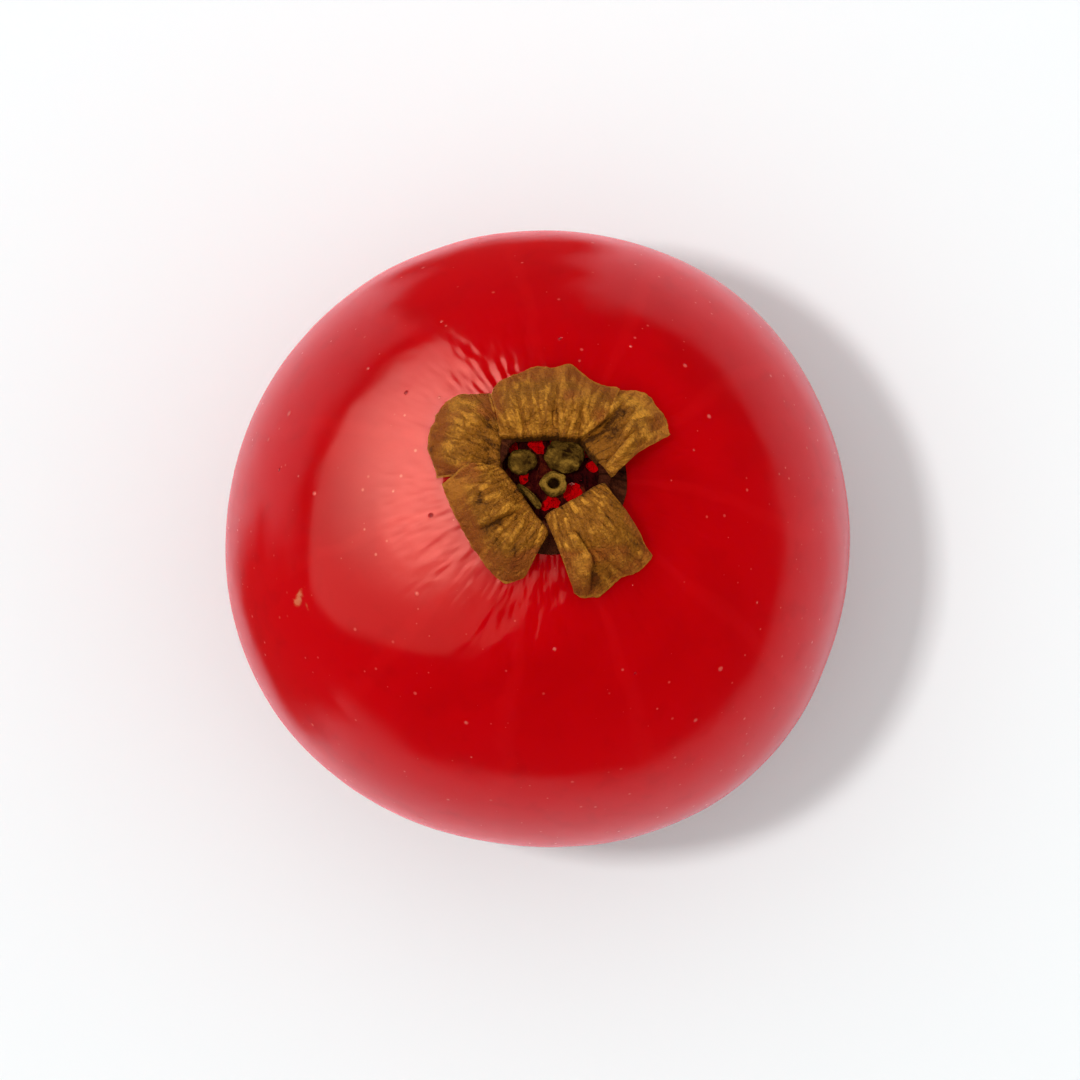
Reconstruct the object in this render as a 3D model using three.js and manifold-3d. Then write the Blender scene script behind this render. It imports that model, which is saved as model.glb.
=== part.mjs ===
// Red currant: one ripe berry off its cluster, lying on its own flat spot, withered flower end up.
// Millimetres, +Z up. The origin is the middle of the flat spot that the berry rests on.

import * as THREE from "three";
import { mergeVertices } from "three/addons/utils/BufferGeometryUtils.js";
import Module from "manifold-3d";

const wasm = await Module();
wasm.setup();

// Berry
const BERRY_RADIUS = 4.97; // mean radius round the waist
const POLE_FLATTENING = 0.02; // how much shorter the berry is along its own axis, as a share of the radius
const FLAT_SPOT_RADIUS = 1.1; // the spot that the berry rests on
const AXIS_LEAN = THREE.MathUtils.degToRad(11.7); // of the flower end, away from straight up
const AXIS_HEADING = THREE.MathUtils.degToRad(80.4); // compass of that lean, from +X towards +Y
const FLOWER_DIP = { depth: 0.14, width: 1.15 }; // the skin sinks a little under the flower end
const STALK_DIP = { depth: 0.3, width: 0.6 }; // and round the stalk
const BERRY_SWELLS = [
  // gentle waves round the waist: count, share of the radius, and where each first one peaks
  { count: 2, size: 0.0057, peak: THREE.MathUtils.degToRad(-0.6) },
  { count: 3, size: 0.0077, peak: THREE.MathUtils.degToRad(-48.9) },
  { count: 4, size: 0.007, peak: THREE.MathUtils.degToRad(41.1) },
];

// Flower end, measured in a plane square to the berry's axis, with its zero height on the skin at the pole
const JOIN_GAP = 0.03; // between pieces that have grown together
const CUP_BASE_RADIUS = 1.2;
const CUP_RIM_RADIUS = 0.92;
const CUP_WALL = 0.16;
const CUP_HEIGHT = 0.5;
const SEPAL_THICKNESS = 0.13;
const SEPAL_CLEFT = 0.03; // share of a sepal's width left open beside its neighbour
const SEPAL_ARCH = 0.16; // how far a sepal rises beyond the cup's rim before it bends down

// Stalk end
const STUB_RADIUS = 0.3;
const STUB_HEIGHT = 0.15;

// Each sepal is a sheet that leaves the cup's rim at its heading (degrees from +X). Its points are [out, side]:
// out is the distance from the cup's middle, and side is the offset to the left, looking out. The root is a
// straight fold from right to left, and the tip is a smooth line through its points, from right to left.
// "droop" is how far the tip bends down, and "roll" lowers the left side and lifts the right one.
const SEPALS = [
  {
    heading: 157,
    root: [[0.9, -0.3], [0.82, 0.16]],
    tip: [[1.38, -0.84], [1.98, -0.5], [2.08, 0.02], [1.87, 0.52], [1.57, 0.7]],
    droop: 0.68,
    roll: 0.02,
  },
  {
    heading: 222,
    root: [[0.46, -0.68], [0.62, 0.64]],
    tip: [[1.35, -1.05], [1.6, -0.38], [1.71, 0.43], [1.67, 0.78], [1.42, 0.94]],
    droop: 0.6,
    roll: 0.05,
  },
  {
    heading: 297.4,
    root: [[0.46, -0.34], [0.45, 0.74]],
    tip: [[1.84, -0.5], [2.01, -0.26], [1.93, 0.3], [1.97, 0.62], [1.86, 0.81]],
    droop: 0.55,
    roll: -0.06,
  },
  {
    heading: 25,
    root: [[0.87, -0.33], [0.72, 0.25]],
    tip: [[2.02, -0.18], [2.06, 0.22], [1.98, 0.5], [1.74, 0.72]],
    droop: 0.42,
    roll: 0.08,
  },
  {
    heading: 88,
    root: [[0.6, -0.46], [0.61, 0.72]],
    tip: [[1.45, -1.2], [1.6, -0.66], [1.8, -0.27], [1.72, 0.1], [1.6, 0.74], [1.28, 0.95]],
    droop: 0.55,
    roll: 0,
  },
];

// Withered flower parts on the floor of the cup: where each stands, its width and its height
const STYLE = { x: 0.07, y: -0.04, radius: 0.19, height: 0.42, hole: 0.07 };
const ANTHERS = [
  { x: -0.42, y: 0.26, radius: 0.19, height: 0.34 },
  { x: 0.26, y: 0.36, radius: 0.25, height: 0.38 },
];
const FILAMENT = { radius: 0.055, from: [-0.52, -0.12], to: [-0.16, -0.5], height: 0.26 };

const SKIN = new THREE.MeshStandardMaterial({ color: 0xb40612, roughness: 0.22, metalness: 0 });
const DRY_SEPAL = new THREE.MeshStandardMaterial({ color: 0x8f6326, roughness: 0.85, metalness: 0 });
const DARK_CUP = new THREE.MeshStandardMaterial({ color: 0x3b2413, roughness: 0.8, metalness: 0 });
const OLIVE_REMAINS = new THREE.MeshStandardMaterial({ color: 0x5d4f1f, roughness: 0.75, metalness: 0 });
const STALK = new THREE.MeshStandardMaterial({ color: 0xa8552b, roughness: 0.7, metalness: 0 });

/** Leaves only positions, with shared vertices merged and collapsed triangles taken out. */
function closedShape(geometry) {
  geometry.deleteAttribute("normal");
  geometry.deleteAttribute("uv");
  const merged = mergeVertices(geometry, 1e-4);
  const corners = merged.index.array;
  const kept = [];
  for (let i = 0; i < corners.length; i += 3) {
    const [a, b, c] = corners.slice(i, i + 3);
    if (a !== b && b !== c && c !== a) {
      kept.push(a, b, c);
    }
  }
  merged.setIndex(kept);
  return merged;
}

/** Moves every vertex of a geometry with a function that changes a Vector3 in place. */
function reshape(geometry, change) {
  const places = geometry.getAttribute("position");
  const point = new THREE.Vector3();
  for (let i = 0; i < places.count; i += 1) {
    point.fromBufferAttribute(places, i);
    change(point);
    places.setXYZ(i, point.x, point.y, point.z);
  }
  return geometry;
}

/** A closed geometry as a solid that can be cut. */
function toSolid(geometry) {
  return new wasm.Manifold(
    new wasm.Mesh({
      numProp: 3,
      vertProperties: new Float32Array(geometry.getAttribute("position").array),
      triVerts: new Uint32Array(geometry.index.array),
    }),
  );
}

/** A cut solid as a geometry again. */
function toGeometry(solid) {
  const mesh = solid.getMesh();
  const geometry = new THREE.BufferGeometry();
  geometry.setAttribute("position", new THREE.BufferAttribute(new Float32Array(mesh.vertProperties), 3));
  geometry.setIndex(new THREE.BufferAttribute(new Uint32Array(mesh.triVerts), 1));
  return geometry;
}

/** A lathe turned about Z, from [radius, height] points. */
function turned(points, sides) {
  const profile = points.map(([radius, height]) => new THREE.Vector2(radius, height));
  return new THREE.LatheGeometry(profile, sides).rotateX(Math.PI / 2);
}

function namedMesh(name, geometry, material) {
  const mesh = new THREE.Mesh(geometry, material.clone());
  mesh.name = name;
  return mesh;
}

/** The skin's distance from the berry's middle, at an angle from the flower end's pole. */
function skinRadius(fromPole) {
  const dip = ({ depth, width }, angle) => depth * Math.exp(-(((BERRY_RADIUS * angle) / width) ** 2));
  const body = BERRY_RADIUS * (1 - POLE_FLATTENING * Math.cos(fromPole) ** 2);
  return body - dip(FLOWER_DIP, fromPole) - dip(STALK_DIP, Math.PI - fromPole);
}

/** Height of the skin beside the flower end's pole, above the pole. */
function skinHeight(fromAxis) {
  const angle = Math.asin(fromAxis / BERRY_RADIUS);
  return skinRadius(angle) * Math.cos(angle) - skinRadius(0);
}

// The berry's axis, and how high its middle is when the flat spot is on the ground.
const axis = new THREE.Vector3(
  Math.sin(AXIS_LEAN) * Math.cos(AXIS_HEADING),
  Math.sin(AXIS_LEAN) * Math.sin(AXIS_HEADING),
  Math.cos(AXIS_LEAN),
);
const upright = new THREE.Quaternion().setFromUnitVectors(new THREE.Vector3(0, 0, 1), axis);
const undersideRadius = skinRadius(Math.PI - AXIS_LEAN);
const middleHeight = Math.sqrt(undersideRadius ** 2 - FLAT_SPOT_RADIUS ** 2);

/** The fruit: a slightly flattened, gently uneven ball with a dip at each pole, cut flat where it rests. */
function makeBerry() {
  const rings = 40;
  const sides = 64;
  const profile = [];
  for (let i = 0; i <= rings; i += 1) {
    const fromPole = Math.PI * (1 - i / rings);
    const radius = i === 0 || i === rings ? 0 : skinRadius(fromPole) * Math.sin(fromPole);
    profile.push([radius, skinRadius(fromPole) * Math.cos(fromPole)]);
  }
  const ball = reshape(turned(profile, sides), (point) => {
    const around = Math.atan2(point.y, point.x);
    const fromAxis = Math.hypot(point.x, point.y) / BERRY_RADIUS;
    const swell = BERRY_SWELLS.reduce(
      (sum, { count, size, peak }) => sum + size * Math.cos(count * (around - peak)), 0);
    point.multiplyScalar(1 + swell * fromAxis ** 2);
  });
  ball.applyQuaternion(upright);
  ball.translate(0, 0, middleHeight);
  const block = new THREE.BoxGeometry(6, 6, 2).translate(0, 0, -1);
  const rested = toSolid(closedShape(ball)).subtract(toSolid(closedShape(block)));
  return namedMesh("berry", toGeometry(rested), SKIN);
}

/** The dried tube of the flower, an open ring that stands on the skin. */
function makeCalyxCup() {
  const base = (radius) => [radius, skinHeight(radius) + JOIN_GAP];
  const rimTop = CUP_HEIGHT;
  const waist = CUP_HEIGHT / 2;
  const profile = [
    base(CUP_BASE_RADIUS - CUP_WALL * 1.5),
    base(CUP_BASE_RADIUS),
    [CUP_RIM_RADIUS + 0.06, waist],
    [CUP_RIM_RADIUS, rimTop],
    [CUP_RIM_RADIUS - CUP_WALL, rimTop],
    [CUP_RIM_RADIUS - CUP_WALL + 0.02, waist],
  ];
  profile.push(profile[0]);
  return namedMesh("calyx_cup", closedShape(turned(profile, 32)), DARK_CUP);
}

/** The middle of a sepal's sheet, from its right side (u 0) to its left (u 1), and root (v 0) to tip (v 1). */
function sepalSheet({ heading, root, tip, droop, roll }, u, v) {
  const asVectors = (points) => points.map(([out, side]) => new THREE.Vector2(out, side));
  const [rootRight, rootLeft] = asVectors(root);
  const across = SEPAL_CLEFT + (1 - 2 * SEPAL_CLEFT) * u;
  const tipPoint = new THREE.SplineCurve(asVectors(tip)).getPoint(across);
  const { x: out, y: side } = rootRight.lerp(rootLeft, across).lerp(tipPoint, v);
  const rise = SEPAL_ARCH * Math.sin(Math.PI * Math.min(v * 1.4, 1));
  const height = CUP_HEIGHT + JOIN_GAP + SEPAL_THICKNESS / 2 + rise - droop * Math.max(v, 0) ** 2.2;
  const turn = THREE.MathUtils.degToRad(heading);
  return new THREE.Vector3(
    out * Math.cos(turn) - side * Math.sin(turn),
    out * Math.sin(turn) + side * Math.cos(turn),
    height - roll * (2 * u - 1) * v,
  );
}

/** A sepal: its curved sheet with an even thickness, thinner at its edges. */
function makeSepal(sepal, index) {
  const step = 0.01;
  const sheet = new THREE.BoxGeometry(1, 1, 1, 10, 10, 1).translate(0.5, 0.5, 0);
  reshape(sheet, (point) => {
    const [u, v, layer] = [1 - point.x, point.y, point.z];
    const [left, right] = [Math.min(u + step, 1), Math.max(u - step, 0)];
    const across = sepalSheet(sepal, left, v).sub(sepalSheet(sepal, right, v));
    const along = sepalSheet(sepal, u, Math.min(v + step, 1)).sub(sepalSheet(sepal, u, Math.max(v - step, 0)));
    const up = along.cross(across).normalize();
    const edge = Math.max(Math.abs(2 * u - 1) ** 6, v ** 8);
    const thickness = SEPAL_THICKNESS * (1 - 0.35 * edge);
    point.copy(sepalSheet(sepal, u, v)).addScaledVector(up, layer * thickness);
  });
  return namedMesh(`sepal_${index + 1}`, closedShape(sheet), DRY_SEPAL);
}

/** The stump of the style: a short post with a round shoulder and a small open hole in its top. */
function makeStyle() {
  const { x, y, radius, height, hole } = STYLE;
  const profile = [
    [0, JOIN_GAP],
    [radius * 0.75, JOIN_GAP],
    [radius * 0.7, height * 0.5],
    [radius, height * 0.75],
    [radius * 0.92, height * 0.93],
    [(radius + hole) / 2, height],
    [hole, height * 0.95],
    [hole * 0.8, height * 0.75],
    [0, height * 0.7],
  ];
  const post = turned(profile, 14).translate(x, y, 0);
  return namedMesh("style_stump", closedShape(post), OLIVE_REMAINS);
}

/** A withered anther: a small wrinkled knob on a narrow foot. */
function makeAnther({ x, y, radius, height }, index) {
  const profile = [
    [0, JOIN_GAP],
    [radius * 0.45, JOIN_GAP],
    [radius * 0.5, height * 0.3],
    [radius * 0.95, height * 0.5],
    [radius, height * 0.7],
    [radius * 0.7, height * 0.93],
    [0, height],
  ];
  const knob = turned(profile, 14);
  reshape(knob, (point) => {
    const creases = 1 + 0.06 * Math.cos(4 * Math.atan2(point.y, point.x));
    point.set(point.x * creases, point.y * creases * 0.88, point.z);
  });
  return namedMesh(`anther_${index + 1}`, closedShape(knob.translate(x, y, 0)), OLIVE_REMAINS);
}

/** A filament: a thin bent thread that has fallen over on the floor of the cup. */
function makeFilament() {
  const { radius, from, to, height } = FILAMENT;
  const low = JOIN_GAP + radius;
  const path = new THREE.CatmullRomCurve3([
    new THREE.Vector3(from[0], from[1], low + 0.02),
    new THREE.Vector3((from[0] + to[0]) / 2 - 0.02, (from[1] + to[1]) / 2 + 0.02, height),
    new THREE.Vector3(to[0], to[1], height * 0.7),
  ]);
  const section = new THREE.Shape();
  section.absellipse(0, 0, radius, radius * 0.7, 0, Math.PI * 2);
  const thread = new THREE.ExtrudeGeometry(section, { extrudePath: path, steps: 10, curveSegments: 4 });
  return namedMesh("filament_1", closedShape(thread), OLIVE_REMAINS);
}

/** The broken end of the stalk, standing in its dip. */
function makeStalkStub() {
  const top = -skinRadius(Math.PI);
  const root = top - JOIN_GAP;
  const end = root - STUB_HEIGHT;
  const profile = [
    [0, end + 0.03],
    [STUB_RADIUS * 0.5, end + 0.01],
    [STUB_RADIUS * 0.85, end],
    [STUB_RADIUS, end + 0.04],
    [STUB_RADIUS * 0.95, root],
    [0, root],
  ];
  return namedMesh("stalk_stub", closedShape(turned(profile, 20)), STALK);
}

const flowerEnd = new THREE.Group();
flowerEnd.position.copy(axis).multiplyScalar(skinRadius(0)).add(new THREE.Vector3(0, 0, middleHeight));
flowerEnd.quaternion.copy(upright);
flowerEnd.add(makeCalyxCup(), ...SEPALS.map(makeSepal), makeStyle(), ...ANTHERS.map(makeAnther), makeFilament());

const stalkEnd = new THREE.Group();
stalkEnd.position.set(0, 0, middleHeight);
stalkEnd.quaternion.copy(upright);
stalkEnd.add(makeStalkStub());

const group = new THREE.Group();
group.add(makeBerry(), flowerEnd, stalkEnd);

export default group;
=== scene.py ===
"""A ripe red currant with its withered flower end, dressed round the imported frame."""

import logging
import math
from dataclasses import dataclass
from enum import Enum
from typing import Any

import bpy
import numpy as np
from mathutils import Matrix, Vector


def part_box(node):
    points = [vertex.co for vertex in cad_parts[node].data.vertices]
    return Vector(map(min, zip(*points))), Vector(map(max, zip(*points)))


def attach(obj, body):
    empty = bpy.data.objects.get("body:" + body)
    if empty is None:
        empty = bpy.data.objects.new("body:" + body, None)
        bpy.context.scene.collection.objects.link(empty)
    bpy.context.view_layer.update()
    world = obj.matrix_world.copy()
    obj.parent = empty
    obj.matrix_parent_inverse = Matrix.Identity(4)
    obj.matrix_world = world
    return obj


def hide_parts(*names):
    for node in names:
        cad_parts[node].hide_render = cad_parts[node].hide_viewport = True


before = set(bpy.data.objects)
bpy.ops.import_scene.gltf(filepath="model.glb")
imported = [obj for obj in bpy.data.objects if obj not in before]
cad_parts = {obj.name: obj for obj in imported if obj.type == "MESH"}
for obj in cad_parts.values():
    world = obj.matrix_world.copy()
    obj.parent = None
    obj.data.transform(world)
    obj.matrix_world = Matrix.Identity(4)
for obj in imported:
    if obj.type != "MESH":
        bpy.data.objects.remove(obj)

logger = logging.getLogger("red_currant")

BODY = "root"
MM = 0.001  # a millimetre, in the scene's metres
TURN = 2.0 * math.pi

Triple = tuple[float, float, float]
Colour = Triple
Points = np.ndarray
Scalars = np.ndarray


class Slot(Enum):
    """The material slots that the record names."""

    SKIN = "skin"
    DRY_SEPAL = "dry_sepal"
    DARK_CUP = "dark_cup"
    FLOWER_REMAINS = "flower_remains"
    STALK = "stalk"


class Trace(Enum):
    """What the meshes remember of how they were made, for the finishes to read."""

    GRAIN = "grain"  # a place on the piece in its own plan, in millimetres
    FOLD_AND_SHADE = "fold"  # how high a crease stands, about -1 to 1, and how light or dark the place is painted: painted light on ridges, painted shade in creases, folds and hollows, painted shadows by pleats, and stains
    EDGE = "edge"  # 0 in the middle of a piece to 1 at its free edge, or on the disc 1 where it is fresh


# ---------------------------------------------------------------- shader maths


class Signal:
    """A number, vector or colour that a material works out, usable in Python sums."""

    def __init__(self, graph: "Graph", socket: bpy.types.NodeSocket) -> None:
        """Wraps an output socket of a graph."""
        self.graph = graph
        self.socket = socket

    def __add__(self, other: "Signal | float") -> "Signal":
        """The sum."""
        return self.graph.maths("ADD", self, other)

    __radd__ = __add__

    def __sub__(self, other: "Signal | float") -> "Signal":
        """The difference."""
        return self.graph.maths("SUBTRACT", self, other)

    def __rsub__(self, other: float) -> "Signal":
        """The difference from a number."""
        return self.graph.maths("SUBTRACT", other, self)

    def __mul__(self, other: "Signal | float") -> "Signal":
        """The product."""
        return self.graph.maths("MULTIPLY", self, other)

    __rmul__ = __mul__

    def __truediv__(self, other: "Signal | float") -> "Signal":
        """The quotient."""
        return self.graph.maths("DIVIDE", self, other)

    def __rtruediv__(self, other: float) -> "Signal":
        """The quotient of a number."""
        return self.graph.maths("DIVIDE", other, self)


Value = Signal | float | int | tuple[float, ...]
Sockets = dict[str | int, Value]


class Graph:
    """A node tree that is filled by expressions."""

    def __init__(self, tree: bpy.types.NodeTree) -> None:
        """Empties the tree."""
        self.tree = tree
        tree.nodes.clear()

    def add(self, kind: str, settings: dict[str, Any], sockets: Sockets) -> bpy.types.Node:
        """Adds any node.

        Args:
            kind: the node's type, without the "ShaderNode" in front.
            settings: its properties, set first.
            sockets: values or signals for its inputs, by name or number.

        Returns:
            The node.
        """
        node = self.tree.nodes.new(f"ShaderNode{kind}")
        for name, value in settings.items():
            setattr(node, name, value)
        for name, value in sockets.items():
            socket = node.inputs[name]
            if isinstance(value, Signal):
                self.tree.links.new(value.socket, socket)
            else:
                socket.default_value = (*value, 1.0) if socket.type == "RGBA" else value
        return node

    def out(self, node: bpy.types.Node, output: str | int = 0) -> Signal:
        """One of a node's outputs."""
        return Signal(self, node.outputs[output])

    def maths(self, operation: str, *values: Signal | float) -> Signal:
        """A Math node on numbers."""
        return self.out(self.add("Math", {"operation": operation}, dict(enumerate(values))))

    def vector(self, operation: str, *values: Value, output: str | int = 0) -> Signal:
        """A Vector Math node."""
        return self.out(self.add("VectorMath", {"operation": operation}, dict(enumerate(values))), output)

    def parts(self, value: Signal, kind: str = "XYZ") -> list[Signal]:
        """The three parts of a vector, or of a colour where the kind is "Color"."""
        split = self.add(f"Separate{kind}", {}, {0: value})
        return [self.out(split, k) for k in range(3)]

    def blend(self, first: Value, second: Value, share: Signal | float) -> Signal:
        """A mix of two colours: the first at share 0, the second at share 1."""
        return self.out(self.add("Mix", {"data_type": "RGBA"}, {0: share, 6: first, 7: second}), 2)

    def trace(self, trace: Trace, output: str = "Fac") -> Signal:
        """What the mesh remembers under a name."""
        return self.out(self.add("Attribute", {"attribute_name": trace.value}, {}), output)

    def place(self) -> Signal:
        """The point on the surface, in millimetres of the frame."""
        metres = self.out(self.add("TexCoord", {}, {}), "Object")
        return self.out(self.add("VectorMath", {"operation": "SCALE"}, {0: metres, "Scale": 1 / MM}))

    def noise(self, place: Signal, scale: float, detail: float = 2.0, stretch: float = 0.0) -> Signal:
        """Cloudy noise from 0 to 1, of scale blobs in a millimetre, with octaves of finer detail."""
        sockets = {"Vector": place, "Scale": scale, "Detail": detail, "Distortion": stretch}
        return self.out(self.add("TexNoise", {}, sockets))

    def dots(self, place: Signal, scale: float, size: float, *shares: float) -> list[Signal]:
        """Scattered round dots of mixed sizes and several kinds, 1 in a dot and 0 between them.

        Args:
            place: where, in millimetres.
            scale: places for a dot in a millimetre.
            size: the largest dot's radius, as a share of the distance between places.
            shares: for each kind, how many of the places hold a dot of that kind, from 0 to 1.

        Returns:
            The dots of each kind.
        """
        sockets = {"Vector": place, "Scale": scale, "Randomness": 1.0}
        cells = self.add("TexVoronoi", {"feature": "F1"}, sockets)
        chance, width, _ = self.parts(self.out(cells, "Color"), "Color")
        radius = (width * width * 0.75 + 0.25) * size
        inside = self.step(self.out(cells, "Distance") / radius, 1.0, 0.35)
        kinds, taken = [], 0.0
        for share in shares:
            off = self.maths("ABSOLUTE", chance - (taken + share / 2.0))
            kinds.append(inside * self.maths("LESS_THAN", off, share / 2.0))
            taken += share
        return kinds

    def step(self, value: Signal, start: float, end: float) -> Signal:
        """A smooth step.

        Args:
            value: what decides.
            start: its value where the step is 0.
            end: its value where the step is 1, above or below the start.

        Returns:
            The step.
        """
        if start > end:
            return 1.0 - self.step(value, end, start)
        sockets = {"Value": value, "From Min": start, "From Max": end}
        return self.out(self.add("MapRange", {"interpolation_type": "SMOOTHSTEP"}, sockets))

    def bump(self, height: Signal, reach: float) -> Signal:
        """The normal of a relief that stands as high as the reach, in millimetres, where its height is 1."""
        return self.out(self.add("Bump", {}, {"Height": height, "Distance": reach * MM, "Strength": 1.0}))

    def close(self, owner: str, shader: str, sockets: Sockets) -> None:
        """Adds a shader and sends it to the output of a "Material", a "Light" or a "World"."""
        surface = self.out(self.add(shader, {}, sockets))
        self.add(f"Output{owner}", {}, {"Surface": surface})


# ---------------------------------------------------------------- finishes


class Finish:
    """A material whose look follows from the fields of its class."""

    name: str

    def material(self) -> bpy.types.Material:
        """Builds the material.

        Returns:
            The material.
        """
        material = bpy.data.materials.new(self.name)
        material.use_nodes = True
        graph = Graph(material.node_tree)
        graph.close("Material", "BsdfPrincipled", self.sockets(graph))
        return material

    def sockets(self, graph: Graph) -> Sockets:
        """Values and signals for the shader, by the names of its sockets."""
        raise NotImplementedError


@dataclass(frozen=True)
class BerrySkin(Finish):
    """Thin, glossy, translucent skin: deep red with faint veins, pale specks and small pits."""

    middle: Vector  # of the berry, in millimetres
    radius: float  # of the berry, in millimetres
    name: str = "currant_skin"
    ripe: Colour = (0.52, 0.0003, 0.003)
    dark: Colour = (0.43, 0.0, 0.0022)
    # painted glow: a brighter red that stands in for light shining through the skin at the rim
    painted_rim_glow: Colour = (0.61, 0.0008, 0.0038)
    painted_rim_glow_from: tuple[float, float] = (3.2, 6.2)  # where the painted glow begins and is full, in millimetres along the skin from the flower end
    vein: Colour = (0.68, 0.008, 0.01)
    speck: Colour = (0.8, 0.2, 0.15)
    pit: Colour = (0.16, 0.0, 0.004)
    scar: Colour = (0.62, 0.28, 0.11)
    scar_from_middle: Triple = (-0.755, -0.19, 0.628)  # in radii
    veins: int = 11
    depth: Triple = (2.5, 0.1, 0.06)  # how far red, green and blue light travels, in millimetres

    def sockets(self, graph: Graph) -> Sockets:
        """Values and signals for the shader.

        Args:
            graph: where the nodes go.

        Returns:
            Them, by the names of its sockets.
        """
        place = graph.place()
        cloud = graph.noise(place, 0.35, 3.0, 0.4)
        mottle = graph.noise(place, 2.2, 3.0)
        specks, pits = graph.dots(place, 2.5, 0.15, 0.7, 0.08)
        (dust,) = graph.dots(place, 5.0, 0.2, 0.6)
        scar = self._scar(graph, place)
        plan = graph.trace(Trace.GRAIN, "Vector")
        from_flower = graph.vector("LENGTH", plan, output="Value")
        colour = graph.blend(self.dark, self.ripe, graph.step(cloud, 0.3, 0.62))
        for other, share in (
            # painted glow, stronger away from the flower end toward the rim
            (self.painted_rim_glow, graph.step(from_flower, *self.painted_rim_glow_from)),
            (self.vein, self._veins(graph, plan, cloud) * 0.15),
            (self.dark, graph.step(mottle, 0.5, 0.75) * 0.35),
            (self.speck, specks * 0.5 + dust * 0.35),
            (self.pit, pits * 0.85),
            (self.scar, scar),
        ):
            colour = graph.blend(colour, other, share)
        return {
            "Base Color": colour,
            "Roughness": 0.07 + mottle * 0.13 + specks * 0.1 + dust * 0.15 + scar * 0.4,
            "IOR": 1.33,
            "Specular Tint": (1.0, 0.38, 0.32),
            "Normal": graph.bump(specks * 0.16 - pits * 0.45, 0.05),
            "Subsurface Weight": 0.9,
            "Subsurface Radius": self.depth,
            "Subsurface Scale": MM,
            "Sheen Weight": 0.5,
            "Sheen Roughness": 0.45,
            "Sheen Tint": (1.0, 0.04, 0.04),
        }

    def _veins(self, graph: Graph, plan: Signal, cloud: Signal) -> Signal:
        """Faint pale lines under the skin, from the stalk to the flower end.

        Args:
            graph: where the nodes go.
            plan: places seen along the berry's axis.
            cloud: what makes the lines wander.

        Returns:
            1 in a line and 0 between them.
        """
        x, y, _ = graph.parts(plan)
        wave = graph.maths("SINE", graph.maths("ARCTAN2", y, x) * float(self.veins) + cloud * 4.0)
        return graph.step(wave, 0.86, 1.0)

    def _scar(self, graph: Graph, place: Signal) -> Signal:
        """One small healed scratch.

        Args:
            graph: where the nodes go.
            place: where, in millimetres.

        Returns:
            How much of it shows.
        """
        centre = self.middle + Vector(self.scar_from_middle).normalized() * self.radius
        away = graph.vector("DISTANCE", place, tuple(centre), output="Value")
        ragged = away + (graph.noise(place, 5.0, 4.0, 0.5) - 0.5) * 0.7
        return graph.step(ragged, 0.14, -0.06) * 0.8


@dataclass(frozen=True)
class DryLeaf(Finish):
    """Withered, papery, creased leaf: golden brown with painted light on its ridges, dark olive with painted
    shade in its creases and folds.
    """

    name: str
    lit_ridge: Colour
    body: Colour
    shaded_furrow: Colour
    tinge: Colour
    shine: float = 0.025
    edge_highlight: float = 0.5  # how strongly a painted highlight lightens its very edge
    tinged: float = 0.55
    tinge_from: tuple[float, float] = (0.55, 0.95)  # shares of the way to the edge

    def sockets(self, graph: Graph) -> Sockets:
        """Values and signals for the shader.

        Args:
            graph: where the nodes go.

        Returns:
            Them, by the names of its sockets.
        """
        place, edge = graph.place(), graph.trace(Trace.EDGE)
        grain = graph.vector("MULTIPLY", graph.trace(Trace.GRAIN, "Vector"), (13.0, 4.0, 1.0))
        fibre = graph.noise(grain, 1.0, 3.0, 0.6)
        crumb = graph.noise(place, 20.0, 3.0, 0.6)
        blotch = graph.noise(place, 1.6, 1.0)
        # painted light and shade: lighter where the fold trace is high, darker in creases, folds and painted
        # shadows; the fibres and crumbs add the leaf's own uneven tone
        tone = 0.52 + graph.trace(Trace.FOLD_AND_SHADE) * 0.3 + (fibre - 0.5) * 1.3 + (crumb - 0.5) * 0.6
        colour = graph.blend(self.shaded_furrow, self.body, graph.step(tone, 0.0, 0.45))
        colour = graph.blend(colour, self.lit_ridge, graph.step(tone, 0.48, 1.0))
        reddish = graph.step(edge + (blotch - 0.5) * 1.3, *self.tinge_from) * self.tinged
        colour = graph.blend(colour, self.tinge, reddish)
        return {
            # painted highlight along the very edge, in the lit-ridge colour
            "Base Color": graph.blend(colour, self.lit_ridge, graph.step(edge, 0.955, 0.99) * self.edge_highlight),
            "Roughness": 0.6 + (crumb - 0.5) * 0.2,
            "Specular IOR Level": self.shine,
            "Normal": graph.bump(fibre + crumb, 0.08),
        }


@dataclass(frozen=True)
class PaleFloor(Finish):
    """A plain pale matt surface with a faint mottle."""

    name: str = "pale_floor"
    pale: Colour = (0.85, 0.86, 0.865)
    paler: Colour = (0.87, 0.88, 0.885)

    def sockets(self, graph: Graph) -> Sockets:
        """Values and signals for the shader.

        Args:
            graph: where the nodes go.

        Returns:
            Them, by the names of its sockets.
        """
        mottle = graph.noise(graph.place(), 0.05, 3.0)
        colour = graph.blend(self.pale, self.paler, mottle)
        return {"Base Color": colour, "Roughness": 0.55 + mottle * 0.1, "Specular IOR Level": 0.0}


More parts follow.
